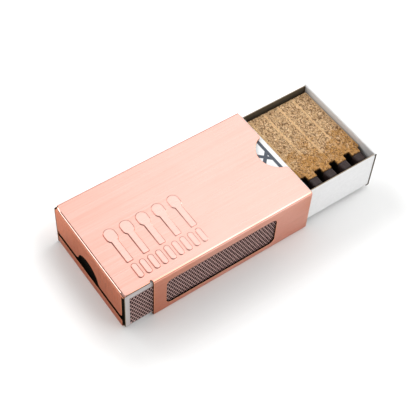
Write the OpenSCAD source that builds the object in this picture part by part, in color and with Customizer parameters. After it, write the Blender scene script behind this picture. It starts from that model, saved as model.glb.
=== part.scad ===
// Bent-metal sleeve round a large card matchbox, with the tray pulled out and full of firelighters.
// X runs along the sleeve from its flap end to its open end, Y from the windowed front wall to the
// plain back wall, and Z is up. The origin is the middle of the sleeve's underside.

/* [Metal sleeve] */
// Length of the sleeve, flap end to open end
sleeve_l = 115; // [95:1:150]
// Width over the front and back walls
sleeve_w = 66; // [56:1:90]
// Height over the top and bottom plates
sleeve_h = 31; // [27:1:45]
// Thickness of the sheet metal
sheet_t = 0.8; // [0.5:0.1:1.1]
// Outer radius of the bends
bend_r = 1.4; // [1.2:0.1:2]
// Width of the open seam where the bottom plate meets the back wall
seam_gap = 0.2; // [0.1:0.05:0.4]

/* [Finger notch] */
// Radius of the round notch in the top plate
notch_r = 12.1; // [8:0.1:16]
// Depth of the notch from the open end
notch_depth = 9.3; // [4:0.1:12]
// Radius that eases the notch into the open end
notch_fillet = 1.9; // [0.5:0.1:3]

/* [Front wall] */
// Length of front wall left out next to the flap end
cutout_l = 16.8; // [8:0.1:24]
// How far the top plate stands back from the front face in the cut-out
cutout_inset = 1.2; // [0.9:0.1:2]
// Width of the relief slot at the end of the front wall's upper bend
relief_w = 1.4; // [0.8:0.1:3]
// Depth of the relief slot past the top plate's edge
relief_d = 1; // [0.8:0.1:3]
// Wall between the cut-out and the window
window_start = 7.6; // [4:0.1:12]
// Wall between the window and the open end
window_end = 22.3; // [8:0.1:30]
// Wall under the window
window_under = 4.4; // [2.5:0.1:6]
// Wall over the window
window_over = 5.8; // [2.5:0.1:8]
// Corner radius of the window
window_r = 3.6; // [1:0.1:6]

/* [Flap end] */
// Height of the low lip bent up from the bottom plate
lip_h = 6.8; // [4:0.1:8]
// Gap between the lip and the flap
flap_gap = 3.1; // [1:0.1:5]
// How far the flap stands back from the front face
flap_front = 3.1; // [2:0.1:6]
// Gap between the flap and the back wall
flap_side_gap = 0.2; // [0.15:0.05:0.5]
// Radius of the flap's lower corners
flap_r = 2.4; // [0.5:0.1:3.5]
// Radius of the thumb arch in the flap's lower edge
arch_r = 9.6; // [6:0.1:13]
// Height of the arch above the flap's lower edge
arch_h = 9.5; // [4:0.1:10]
// Radius that eases the arch into the flap's lower edge
arch_fillet = 2.5; // [0.5:0.1:4]
// How far the arch's middle stands off the flap's, towards the back
arch_shift = 0.9; // [0:0.1:5]
// How far the lip and the bottom plate stand back from the front face in the cut-out
lip_front = 3.1; // [2.4:0.1:6]
// Gap between the lip and the back wall
lip_side_gap = 0.8; // [0.3:0.1:2]
// Radius of the lip's upper corners
lip_r = 0.9; // [0.5:0.1:0.9]
// How far the relief where the flap's bend meets the back wall's bend reaches past both bends
corner_relief = 0.3; // [0.2:0.1:1]

/* [Embossed matches] */
// Height of the embossing above the top plate
emboss_h = 0.35; // [0.2:0.05:0.8]
// Distance of the embossed block from the flap end
emboss_x = 11; // [6:0.5:30]
// Distance of the embossed block from the front face
emboss_y = 5.8; // [4:0.1:10]
// Spacing of the tall embossed matches
match_pitch = 9.5; // [7.5:0.1:11]
// Length of a tall embossed match
match_l = 22.3; // [16:0.1:26]
// Width of an embossed match's stick
match_stick_w = 3.6; // [2:0.1:5]
// Width of an embossed match's head
match_head_w = 6.2; // [5.2:0.1:7]
// Length of an embossed match's head
match_head_l = 8.6; // [7.5:0.1:11]
// Length of the short embossed bars below the matches
bar_l = 9; // [5:0.1:12]
// Width of the short embossed bars
bar_w = 3; // [2:0.1:3.6]
// Gap between the matches and the short bars
bar_gap = 1.9; // [1:0.1:4]

/* [Matchbox] */
// Thickness of the card
card_t = 0.5; // [0.3:0.05:0.7]
// How far the card sleeve reaches out of the metal sleeve's open end
card_proud = 0.9; // [0:0.1:3]
// Corner radius of the folded card sleeve
card_r = 0.8; // [0.75:0.05:1]
// Height of the glued overlap inside the card sleeve's back wall
glue_h = 11; // [6:1:18]
// Thickness of the striker strips
striker_t = 0.15; // [0.1:0.05:0.2]
// Card left bare at each end of a striker strip
striker_end = 2.6; // [2:0.1:8]
// Card left bare under a striker strip
striker_under = 1.6; // [1:0.1:3]
// Card left bare over a striker strip
striker_over = 3.4; // [1:0.1:6]
// How far the tray is pulled out of the card sleeve
tray_out = 46; // [0:1:50]
// Thickness of the tray's doubled end panels
end_t = 1.4; // [1.2:0.1:2]
// How far the end panels' ends stand proud of the tray's sides
end_proud = 0.4; // [0.1:0.1:0.5]
// How far the end panels' folds stand above the tray's sides
end_over = 0.4; // [0.1:0.1:0.8]

/* [Firelighters] */
// Free depth of the tray over the top layer of firelighters
headroom = 2.8; // [1:0.1:5]
// Gap between neighbouring firelighters
stick_gap = 0.06; // [0.05:0.01:0.3]
// Gap between the sides of the tray and the firelighters' ends
stick_side_gap = 1.7; // [0.5:0.1:3]
// Gap between the last firelighter and the pulled-out end of the tray
stick_end_gap = 1.1; // [0.3:0.1:3]
// Chamfer along a firelighter's long edges
stick_chamfer = 0.5; // [0.2:0.1:1]
// Length of a match head
head_l = 5.4; // [3:0.1:8]
// Width of a match head
head_w = 5.8; // [4.5:0.1:6.5]
// Length of a firelighter's neck, from its square shoulders to the head
neck_l = 3.3; // [1:0.1:6]
// Width of a firelighter's neck
neck_w = 5.6; // [3:0.1:6.4]
// How far necks and heads stand off the firelighters' middle, towards the pulled-out end
head_shift = 0.5; // [0:0.1:1]
// How far a head's top and bottom lie inside the firelighter's
head_drop = 0.3; // [0.1:0.05:0.8]
// Corner radius of a match head
head_r = 1.3; // [0.5:0.1:2]

/* [Clearances] */
// Clearance over and under the card sleeve in the metal sleeve
card_clear_z = 0.4; // [0.15:0.05:0.6]
// Clearance at each side of the card sleeve in the metal sleeve
card_clear_y = 0.5; // [0.35:0.05:0.8]
// Clearance between the card sleeve's end and the flap
card_clear_x = 0.2; // [0.1:0.05:0.5]
// Clearance over and under the tray in the card sleeve
tray_clear_z = 0.25; // [0.15:0.05:0.4]
// Clearance between the tray's end panels and the card sleeve's glued overlap
tray_clear_y = 0.3; // [0.15:0.05:0.8]
// Clearance of the pushed-in tray at the card sleeve's open end
tray_clear_x = 0.1; // [0.1:0.05:0.5]

/* [Hidden] */
// Overrun of every cut past the face that it opens
over = 1;
// How far the arcs of a notch and of its fillets overlap where one runs into the other
arc_overlap = 0.001;
$fn = 64;

// Metal sleeve
x_flap = -sleeve_l / 2;
x_open = sleeve_l / 2;
y_front = -sleeve_w / 2;
y_back = sleeve_w / 2;
inner_r = bend_r - sheet_t;
x_walls = x_flap + bend_r;
x_front_wall = x_flap + cutout_l;
y_plate = y_front + cutout_inset;
corner = bend_r + corner_relief;
y_relief = y_back - corner;
y_seam = y_back - sheet_t - seam_gap;
window_l = sleeve_l - cutout_l - window_start - window_end;
window_h = sleeve_h - window_under - window_over;
flap_z = lip_h + flap_gap;
y_inner = y_back - sheet_t;
y_flap = [y_front + flap_front, y_inner - flap_side_gap];
y_lip = [y_front + lip_front, y_inner - lip_side_gap];
y_arch = (y_flap[0] + y_flap[1]) / 2 + arch_shift;

// Embossing
match_count = 5;
bars_per_match = 2;
bar_count = match_count * bars_per_match - 1;

// Card sleeve
x_card = [x_flap + sheet_t + card_clear_x, x_open + card_proud];
card_l = x_card[1] - x_card[0];
card_y = y_back - sheet_t - card_clear_y;
card_z = [sheet_t + card_clear_z, sleeve_h - sheet_t - card_clear_z];
card_inner_y = card_y - card_t;

// Tray
tray_l = card_l - tray_clear_x;
x_tray = [x_card[0] + tray_out, x_card[0] + tray_out + tray_l];
tray_end_y = card_inner_y - card_t - tray_clear_y;
tray_y = tray_end_y - end_proud;
tray_z = [card_z[0] + card_t + tray_clear_z, card_z[1] - card_t - tray_clear_z];
tray_side_z = tray_z[1] - end_over;
tray_floor_z = tray_z[0] + card_t;

// Firelighters: two layers, side by side across the tray
layers = 2;
row_count = 11;
x_sticks = x_tray[1] - end_t - stick_end_gap;
x_sticks_low = x_tray[0] + end_t + stick_gap;
stick_pitch = (x_sticks - x_sticks_low) / row_count;
stick_w = stick_pitch - stick_gap;
stick_h = (tray_side_z - headroom - tray_floor_z) / layers;
y_stick_back = tray_y - card_t - stick_side_gap;
y_head_front = -y_stick_back;
y_neck = y_head_front + head_l;
y_shoulder = y_neck + neck_l;
x_neck = stick_w / 2 + head_shift;

row_names = ["01", "02", "03", "04", "05", "06", "07", "08", "09", "10", "11"];
layer_names = ["bottom", "top"];

// Extrudes a YZ outline along +X from x
module along_x(x, length) {
    translate([x, 0, 0])
        rotate([90, 0, 90])
            linear_extrude(length)
                children();
}

// Extrudes an XZ outline along Y from y0 to y1
module along_y(y0, y1) {
    translate([0, y1, 0])
        rotate([90, 0, 0])
            linear_extrude(y1 - y0)
                children();
}

// Rectangle from its low corner to its high corner
module span(low, high) {
    translate(low)
        square(high - low);
}

// Rectangle with rounded corners of radius r
module rounded_span(low, high, r) {
    span([low[0] + r, low[1]], [high[0] - r, high[1]]);
    span([low[0], low[1] + r], [high[0], high[1] - r]);
    for (a = [low[0] + r, high[0] - r], b = [low[1] + r, high[1] - r])
        translate([a, b])
            circle(r);
}

// Half outline of a round notch of radius r that cuts depth past an edge along the first axis,
// with the corner between notch and edge eased by a fillet. The edge is at zero, the notch below it.
module eased_notch_half(r, depth, fillet) {
    centre = r - depth;
    side = sqrt(pow(r + fillet - arc_overlap, 2) - pow(centre + fillet, 2));
    difference() {
        polygon([[0, centre], [side, -fillet], [side, over], [0, over + max(centre, 0)]]);
        translate([side, -fillet])
            circle(fillet);
    }
}

module eased_notch(r, depth, fillet) {
    translate([0, r - depth])
        circle(r);
    eased_notch_half(r, depth, fillet);
    mirror([1, 0])
        eased_notch_half(r, depth, fillet);
}

// Section of the sleeve: three bends of radius r and one square corner, back and bottom
module sheet_section(low, high, r) {
    span([low[0] + r, low[1]], [high[0] - r, high[1]]);
    span([low[0], low[1] + r], [high[0], high[1] - r]);
    span([high[0] - r, low[1]], [high[0], low[1] + r]);
    for (place = [[low[0] + r, low[1] + r], [low[0] + r, high[1] - r], [high[0] - r, high[1] - r]])
        translate(place)
            circle(r);
}

// Quarter ring of the sheet's bend, in its upper left quadrant
module bend_quarter() {
    intersection() {
        difference() {
            circle(bend_r);
            circle(inner_r);
        }
        span([-bend_r, 0], [0, bend_r]);
    }
}

module tube() {
    difference() {
        union() {
            along_x(x_walls, x_open - x_walls)
                difference() {
                    sheet_section([y_front, 0], [y_back, sleeve_h], bend_r);
                    sheet_section([y_front + sheet_t, sheet_t], [y_inner, sleeve_h - sheet_t], inner_r);
                }
            // Back wall's end beside the flap
            translate([x_flap, y_inner, 0])
                cube([bend_r + inner_r, sheet_t, sleeve_h - bend_r]);
        }
        // Open seam at the back of the bottom plate
        translate([x_walls - over, y_seam, -over])
            cube([sleeve_l + 2 * over, seam_gap, sheet_t + over]);
        // Corner of the front wall left out, with more of the bottom plate than of the top plate
        translate([x_flap - over, y_front - over, -over]) {
            cube([cutout_l + over, cutout_inset + over, sleeve_h + 2 * over]);
            cube([cutout_l + over, lip_front + over, sleeve_h / 2]);
        }
        // Relief slot in the top plate
        translate([0, 0, sleeve_h / 2])
            linear_extrude(sleeve_h / 2 + over) {
                slot_y = y_plate + relief_d - relief_w / 2;
                span([x_front_wall - relief_w, y_front - over], [x_front_wall, slot_y]);
                translate([x_front_wall - relief_w / 2, slot_y])
                    circle(relief_w / 2);
            }
        // Striker window
        along_y(y_front - over, y_front + sheet_t + over)
            rounded_span(
                [x_front_wall + window_start, window_under],
                [x_front_wall + window_start + window_l, window_under + window_h],
                window_r
            );
        // Finger notch in the top plate
        translate([x_open, 0, sleeve_h - sheet_t - over])
            rotate([0, 0, -90])
                linear_extrude(sheet_t + 2 * over)
                    eased_notch(notch_r, notch_depth, notch_fillet);
    }
}

// Bend and flap that close the upper part of the flap end
module flap() {
    along_y(y_plate, y_flap[1])
        translate([x_walls, sleeve_h - bend_r])
            bend_quarter();
    along_y(y_plate, y_relief)
        span([x_walls, sleeve_h - sheet_t], [x_walls + inner_r, sleeve_h]);
    along_x(x_flap, sheet_t)
        difference() {
            union() {
                rounded_span([y_flap[0], flap_z], [y_flap[1], sleeve_h - bend_r], flap_r);
                span([y_flap[0], flap_z + flap_r], [y_flap[1], sleeve_h - bend_r]);
            }
            translate([y_arch, flap_z])
                mirror([0, 1])
                    eased_notch(arch_r, arch_h, arch_fillet);
        }
}

// Bend and low lip at the bottom of the flap end
module lip() {
    along_y(y_lip[0], y_lip[1]) {
        translate([x_walls, bend_r])
            mirror([0, 1])
                bend_quarter();
        span([x_walls, 0], [x_walls + inner_r, sheet_t]);
    }
    along_x(x_flap, sheet_t) {
        rounded_span([y_lip[0], bend_r], [y_lip[1], lip_h], lip_r);
        span([y_lip[0], bend_r], [y_lip[1], lip_h - lip_r]);
    }
}

// Upright bar with round ends, centred on x = 0, from y0 to y1
module round_bar(w, y0, y1) {
    span([-w / 2, y0 + w / 2], [w / 2, y1 - w / 2]);
    for (y = [y0 + w / 2, y1 - w / 2])
        translate([0, y])
            circle(w / 2);
}

// One upright match: a plain stick with a rounded head
module match_outline() {
    span([-match_stick_w / 2, 0], [match_stick_w / 2, match_l - match_head_w / 2]);
    round_bar(match_head_w, match_l - match_head_l, match_l);
}

module embossing() {
    bar_pitch = match_pitch / bars_per_match;
    root = sheet_t / 2;
    translate([x_flap + emboss_x + match_head_w / 2, y_front + emboss_y, sleeve_h - root])
        linear_extrude(root + emboss_h) {
            for (i = [0 : match_count - 1])
                translate([i * match_pitch, bar_l + bar_gap])
                    match_outline();
            for (i = [0 : bar_count - 1])
                translate([i * bar_pitch, 0])
                    round_bar(bar_w, 0, bar_l);
        }
}

module metal_sleeve() {
    color([0.86, 0.56, 0.46])
        difference() {
            union() {
                tube();
                flap();
                lip();
                embossing();
            }
            // Relief between the flap's bend and the back wall's bend
            translate([x_flap - over, y_relief, sleeve_h - corner])
                cube([over + corner, corner + over, corner + over]);
        }
}

module card_sleeve() {
    color([0.93, 0.93, 0.92])
        along_x(x_card[0], card_l) {
            difference() {
                rounded_span([-card_y, card_z[0]], [card_y, card_z[1]], card_r);
                rounded_span(
                    [-card_inner_y, card_z[0] + card_t],
                    [card_inner_y, card_z[1] - card_t],
                    card_r - card_t
                );
            }
            // Glued overlap inside the back wall
            span(
                [card_inner_y - card_t, card_z[0] + card_r],
                [card_inner_y + card_t / 2, card_z[0] + card_r + glue_h]
            );
        }
}

// Striker strip from y0 to y1 on a side of the card sleeve
module striker(y0, y1) {
    color([0.25, 0.12, 0.13])
        along_y(y0, y1)
            span(
                [x_card[0] + striker_end, card_z[0] + striker_under],
                [x_card[1] - striker_end, card_z[1] - striker_over]
            );
}

module striker_front() {
    striker(-card_y - striker_t, -card_y);
}

module striker_back() {
    striker(card_y, card_y + striker_t);
}

// End panel of the tray from x, doubled card with a round fold along its top
module end_panel(x) {
    along_y(-tray_end_y, tray_end_y) {
        span([x, tray_z[0]], [x + end_t, tray_z[1] - end_t / 2]);
        translate([x + end_t / 2, tray_z[1] - end_t / 2])
            circle(end_t / 2);
    }
}

module tray() {
    color([0.9, 0.9, 0.9]) {
        along_x(x_tray[0] + end_t / 2, tray_l - end_t)
            difference() {
                span([-tray_y, tray_z[0]], [tray_y, tray_side_z]);
                span([-tray_y + card_t, tray_floor_z], [tray_y - card_t, tray_side_z + over]);
            }
        end_panel(x_tray[0]);
        end_panel(x_tray[1] - end_t);
    }
}

// Section of a firelighter with chamfered long edges, from its low corner
module stick_section() {
    c = stick_chamfer;
    polygon([
        [c, 0], [stick_w - c, 0], [stick_w, c], [stick_w, stick_h - c],
        [stick_w - c, stick_h], [c, stick_h], [0, stick_h - c], [0, c]
    ]);
}

// Plan of a firelighter, with square shoulders over the neck that carries its head
module stick_plan() {
    polygon([
        [0, y_stick_back], [0, y_shoulder], [x_neck - neck_w / 2, y_shoulder], [x_neck - neck_w / 2, y_neck],
        [x_neck + neck_w / 2, y_neck], [x_neck + neck_w / 2, y_shoulder], [stick_w, y_shoulder],
        [stick_w, y_stick_back]
    ]);
}

function stick_place(layer, row) =
    [x_sticks - (row + 1) * stick_pitch + stick_gap, 0, tray_floor_z + layer * stick_h];

// Firelighter of a layer, counted from the pulled-out end of the tray
module firelighter(layer, row) {
    color([0.76, 0.58, 0.36])
        translate(stick_place(layer, row))
            intersection() {
                along_y(y_neck, y_stick_back)
                    stick_section();
                linear_extrude(stick_h)
                    stick_plan();
            }
}

module match_head(layer, row) {
    color([0.22, 0.16, 0.17])
        translate(stick_place(layer, row) + [x_neck, 0, head_drop])
            linear_extrude(stick_h - 2 * head_drop) {
                rounded_span([-head_w / 2, y_head_front], [head_w / 2, y_neck], head_r);
                span([-head_w / 2, y_neck - head_r], [head_w / 2, y_neck]);
            }
}

metal_sleeve();
card_sleeve();
striker_front();
striker_back();
tray();
for (layer = [0 : layers - 1], row = [0 : row_count - 1]) {
    name = str(layer_names[layer], "_", row_names[row]);
    firelighter(layer, row);
    match_head(layer, row);
}
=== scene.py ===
"""Dresses a bent-metal matchbox sleeve, its card matchbox and its firelighters round their CAD frame.

The frame is in metres: X runs along the sleeve from its flap end to its open end, Y from the windowed
front wall to the back wall, and Z is up. Every sheet piece is cut flat as a blank, with u along the
piece and v across its folds, and is then folded, so that its cut edges, bends and grain follow the sheet.
"""

import itertools
import math
from functools import partialmethod

import bpy
import numpy as np
from bpy.props import FloatProperty, FloatVectorProperty, IntProperty, PointerProperty
from mathutils import Euler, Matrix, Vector
from mathutils.geometry import delaunay_2d_cdt


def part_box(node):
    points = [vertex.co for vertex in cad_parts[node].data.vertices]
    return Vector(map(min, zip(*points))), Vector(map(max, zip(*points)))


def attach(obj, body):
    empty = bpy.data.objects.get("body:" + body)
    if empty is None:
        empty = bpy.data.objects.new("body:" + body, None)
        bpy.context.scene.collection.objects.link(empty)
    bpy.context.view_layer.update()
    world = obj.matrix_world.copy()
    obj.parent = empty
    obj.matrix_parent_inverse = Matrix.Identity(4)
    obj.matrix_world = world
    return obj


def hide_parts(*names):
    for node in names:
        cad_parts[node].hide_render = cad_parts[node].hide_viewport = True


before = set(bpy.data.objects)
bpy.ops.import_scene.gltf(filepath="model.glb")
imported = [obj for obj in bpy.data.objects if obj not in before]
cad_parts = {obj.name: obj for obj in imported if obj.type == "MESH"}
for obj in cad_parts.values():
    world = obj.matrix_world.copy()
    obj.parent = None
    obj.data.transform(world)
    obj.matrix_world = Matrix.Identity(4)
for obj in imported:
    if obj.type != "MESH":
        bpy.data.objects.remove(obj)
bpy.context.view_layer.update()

bl_info = {
    "name": "Matchbox sleeve",
    "version": (1, 0, 0),
    "blender": (4, 5, 0),
    "location": "3D View > Sidebar > Matchbox",
    "description": "Bent-metal sleeve round a card matchbox full of firelighters",
    "category": "Add Mesh",
}

MM = 0.001

# Sheets: the spacing of a blank's points inside it and along its edge, the creases' distance from that
# edge in edge radii, the offsets and rises of an embossed side, and how far round the cut edge lies each
# of its rings.
GRID = 4 * MM
EDGE_STEP = 3 * MM
CREASE_INSET = 3.5
SLOPE_STEPS = ((0.85, 0.0), (0.5, 0.0), (0.1, 0.35), (-0.15, 0.85), (-0.5, 1.0), (-0.85, 1.0))
CUT_SHARES = (0.25, 0.5, 1.0, 1.0, 0.5, 0.25)

# The tray: the foot of each end panel, and the height below its top fold where it narrows.
END_FOOT = 2 * MM
END_SHOULDER = 0.6 * MM

# The noise of the surfaces: what its hash multiplies a lattice corner by, and the seed of each use.
HASH_PRIMES = (73856093, 19349663, 83492791)
SEEDS = {"ridge": 47, "tuft": 11, "fine tuft": 23, "sag": 5, "end": 31, "head": 71}

# Sticks and heads: their layers and rows, the rings of a shoulder in shoulder radii, the sizes of the
# rings that close a stick's ends, how far a ridge's edge wanders, how far a stick sags, the share of its
# length over which its golden tone fades, and how far a head's surface sinks.
LAYERS = ("bottom", "top")
ROWS = [f"{row:02d}" for row in range(1, 12)]
SHOULDER_STEPS = (-0.02, 0, 0.05, 0.2, 0.5, 1)
END_SHARES = (0.08, 0.3, 0.65, 0.88)
RIDGE_WANDER = 0.25 * MM
SAG = 0.12 * MM
GOLDEN_REACH = 0.62
HEAD_UNEVEN = 0.16 * MM

SLEEVE_LOW, SLEEVE_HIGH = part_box("metal_sleeve")
CARD_LOW, CARD_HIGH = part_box("card_sleeve")
TRAY_LOW, TRAY_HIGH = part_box("tray")


def length(name, millimetres, description):
    """A property that holds a size in metres, given here in millimetres."""
    return FloatProperty(
        name=name, description=description, default=millimetres * MM, min=0, precision=5, unit="LENGTH"
    )


def share(name, value, description):
    """A property that holds a plain factor."""
    return FloatProperty(name=name, description=description, default=value, min=0)


def colour(name, value, description):
    """A property that holds a linear colour."""
    return FloatVectorProperty(
        name=name, description=description, default=value, size=3, min=0, max=1, subtype="COLOR"
    )


def angle(name, degrees, description):
    """A property that holds an angle, given here in degrees."""
    return FloatProperty(name=name, description=description, default=math.radians(degrees), subtype="ANGLE")


class SleeveSettings(bpy.types.PropertyGroup):
    """Sizes and colours of the metal sleeve"""

    sheet: length("Sheet", 0.8, "Thickness of the sheet metal")
    bend: length("Bend radius", 1.4, "Outer radius of the bends")
    edge: length("Edge round", 0.14, "Rounding of the cut edges")
    corner: length("Corner round", 0.6, "Rounding of the blank's small corners")
    seam: length("Seam", 0.2, "Open seam between the bottom plate and the back wall")
    notch_r: length("Notch radius", 12.1, "Radius of the finger notch")
    notch_depth: length("Notch depth", 9.3, "Depth of the finger notch")
    notch_ease: length("Notch easing", 1.9, "Radius that eases the notch into the open end")
    cutout: length("Cut-out", 16.8, "Length of front wall left out at the flap end")
    inset: length("Plate inset", 1.2, "How far the top plate stands back in the cut-out")
    relief: length("Relief slot", 1.4, "Width of the slot at the end of the upper front bend")
    relief_depth: length("Relief depth", 1.0, "Depth of the slot past the top plate's edge")
    window_start: length("Window start", 7.6, "Wall between the cut-out and the window")
    window_end: length("Window end", 22.3, "Wall between the window and the open end")
    window_under: length("Wall under window", 4.4, "Wall under the window")
    window_over: length("Wall over window", 5.8, "Wall over the window")
    window_r: length("Window corner", 3.6, "Corner radius of the window")
    lip: length("Lip height", 6.8, "Height of the lip under the flap")
    lip_front: length("Lip front", 3.1, "How far the lip and the bottom plate stand back in the cut-out")
    lip_side: length("Lip side gap", 0.8, "Gap between the lip and the back wall")
    lip_r: length("Lip corner", 0.9, "Radius of the lip's upper corners")
    flap_gap: length("Flap gap", 3.1, "Gap between the lip and the flap")
    flap_front: length("Flap front", 3.1, "How far the flap stands back from the front face")
    flap_side: length("Flap side gap", 0.2, "Gap between the flap and the back wall")
    flap_r: length("Flap corner", 2.4, "Radius of the flap's lower corners")
    arch_r: length("Arch radius", 9.6, "Radius of the thumb arch")
    arch_depth: length("Arch height", 9.5, "Height of the thumb arch")
    arch_ease: length("Arch easing", 2.5, "Radius that eases the arch into the flap's edge")
    arch_shift: length("Arch shift", 0.9, "How far the arch's middle stands off the flap's")
    corner_relief: length("Corner relief", 0.3, "How far the gap between two bends that meet passes them")
    emboss: length("Emboss height", 0.35, "Height of the embossing")
    emboss_slope: length("Emboss slope", 0.5, "Width of the embossing's sloped sides")
    emboss_x: length("Emboss start", 11.0, "Distance of the embossed block from the flap end")
    emboss_y: length("Emboss front", 5.8, "Distance of the embossed block from the front face")
    match_pitch: length("Match pitch", 9.5, "Spacing of the embossed matches")
    match_length: length("Match length", 22.3, "Length of an embossed match")
    match_stick: length("Match stick", 3.6, "Width of an embossed match's stick")
    match_head: length("Match head", 6.2, "Width of an embossed match's head")
    match_head_length: length("Match head length", 8.6, "Length of an embossed match's head")
    bar_length: length("Bar length", 9.0, "Length of the short embossed bars")
    bar_width: length("Bar width", 3.0, "Width of the short embossed bars")
    bar_gap: length("Bar gap", 1.9, "Gap between the matches and the short bars")
    match_count: IntProperty(name="Matches", description="Number of embossed matches", default=5, min=1)
    copper: colour("Copper", (0.90, 0.56, 0.49), "Colour of the brushed plate")
    copper_deep: colour("Deep copper", (0.86, 0.42, 0.33), "Colour of the darker brush lines")
    # Painted shade: this darker copper goes into the walls, the flap and the lip, partly a deeper finish and
    # partly standing for their darker reflections.
    wall_shade_copper: colour("Side copper", (0.57, 0.22, 0.135), "Colour mixed into the walls and the flap")
    glancing: colour("Glancing copper", (0.74, 0.42, 0.32), "Colour of the plate at a glancing angle")
    # Worn copper: real wear on the embossing's tops, and on the plate a painted highlight.
    worn: colour("Worn copper", (0.97, 0.63, 0.56), "Colour of the embossing's tops and the paler plate")
    # Painted shade: the dark red-brown of the embossing's slopes stands for the dark reflections along its
    # edges.
    slope_shade: colour("Patina", (0.33, 0.06, 0.03), "Colour of the embossing's slopes")
    # Painted highlight: the bright orange of the arrises stands for the light they catch.
    arris_highlight: colour("Arris", (1.0, 0.46, 0.25), "Colour of the blank's bright arrises")
    # Near-black cut faces: partly the bare cut metal, partly painted shade for the gaps beside them.
    core: colour("Core", (0.018, 0.009, 0.007), "Colour of the blank's cut faces")


class CardSettings(bpy.types.PropertyGroup):
    """Sizes and colours of the card sleeve, its strikers and the tray"""

    card: length("Card", 0.5, "Thickness of the card")
    edge: length("Edge round", 0.08, "Rounding of the card's cut edges")
    fold: length("Fold radius", 0.8, "Outer radius of the card sleeve's folds")
    glue: length("Glue flap", 11.0, "Height of the glued overlap inside the back wall")
    striker_cell: length("Striker cell", 1.98, "Width of a diamond of the striker")
    striker_row: length("Striker row", 1.8, "Height between rows of the striker's diamonds")
    striker_line: length("Striker line", 0.24, "Width of the striker's pale lines")
    tray_fold: length("Tray fold", 0.6, "Outer radius of the tray's folds")
    end_panel: length("End panel", 1.4, "Thickness of the tray's doubled ends")
    end_proud: length("End overhang", 0.4, "How far the tray's ends stand proud of its sides")
    end_over: length("End height", 0.4, "How far the ends' folds stand above the tray's sides")
    border: length("Border", 1.8, "Width of the printed border")
    border_inset: length("Border inset", 2.6, "Bare card outside the printed border")
    lattice: length("Lattice", 17.0, "Width of the printed lattice's diamonds")
    lattice_line: length("Lattice line", 2.0, "Width of the printed lattice's lines")
    white: colour("Card white", (0.86, 0.86, 0.865), "Colour of the coated card")
    face: colour("Card face", (0.93, 0.935, 0.94), "Colour of the card sleeve's printed faces")
    # Painted shade: the grey of the card sleeve's sides and folds stands for the shade round them.
    side: colour("Card side", (0.50, 0.455, 0.45), "Colour of the card sleeve's sides round the strikers")
    raw: colour("Raw card", (0.138, 0.116, 0.072), "Colour of the tray's bare inside")
    # Painted shade: the long walls' bare inside is darker than the rest of the bare board, standing for the
    # shade along them.
    wall: colour("Tray walls", (0.082, 0.062, 0.037), "Colour of the bare inside of the tray's long walls")
    # Painted shade: the card sleeve's bare inside is near black, darker than bare board, standing for the
    # shade inside the sleeve.
    hidden: colour("Hidden card", (0.05, 0.04, 0.028), "Colour of the card sleeve's bare inside")
    cut: colour("Cut card", (0.26, 0.20, 0.135), "Colour of the card's cut edges")
    # Painted shade: the ends' cut edges are near black, much darker than the other cut board; partly the
    # board's darker edge, mostly shade.
    ply: colour("End ply", (0.035, 0.024, 0.016), "Colour of the cut edges of the tray's ends")
    slate: colour("Slate ink", (0.062, 0.075, 0.10), "Colour of the print")
    maroon: colour("Striker maroon", (0.014, 0.002, 0.0024), "Colour of the striking surface")
    lattice_pale: colour("Striker lines", (0.71, 0.47, 0.43), "Colour of the striker's pale lines")


class FirelighterSettings(bpy.types.PropertyGroup):
    """Sizes and colours of the firelighters"""

    corner: length("Corner", 0.22, "Rounding of a firelighter's long edges")
    ridge: length("Ridge", 0.55, "Width of the smooth ridge along a firelighter's long edges")
    rough: length("Roughness", 0.30, "Depth of the fibrous surface")
    fibre: length("Fibre", 0.8, "Size of the surface's tufts")
    step: length("Grid", 0.5, "Spacing of the surface's points")
    neck: length("Neck", 3.3, "Length of a firelighter's neck, from its shoulders to the head")
    shoulder: length("Shoulder", 0.45, "Rounding of the square shoulders")
    neck_step: length("Neck step", 0.1, "How much narrower the neck is than the head, on each side")
    head_corner: length("Head corner", 1.1, "Rounding of a head's edges")
    tan: colour("Tan", (0.56, 0.34, 0.165), "Colour of the pressed fibre")
    golden: colour("Golden", (0.51, 0.25, 0.066), "Colour of the fibre towards the heads")
    pale: colour("Pale", (0.90, 0.67, 0.41), "Colour of the pale fibres")
    smooth: colour("Smooth ridge", (0.88, 0.59, 0.31), "Colour of the smooth ridges")
    fleck: colour("Fleck", (0.145, 0.066, 0.026), "Colour of the dark fibres")
    # Painted shade: this near-black colour deep in the notches between the necks stands for the shade there.
    painted_notch_shade: colour("Soot", (0.012, 0.008, 0.006), "Colour deep in the notches between the necks")
    head: colour("Head", (0.021, 0.0115, 0.0105), "Colour of the match heads")
    head_grain: colour("Head grain", (0.080, 0.046, 0.043), "Colour of the heads' grain")


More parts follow.
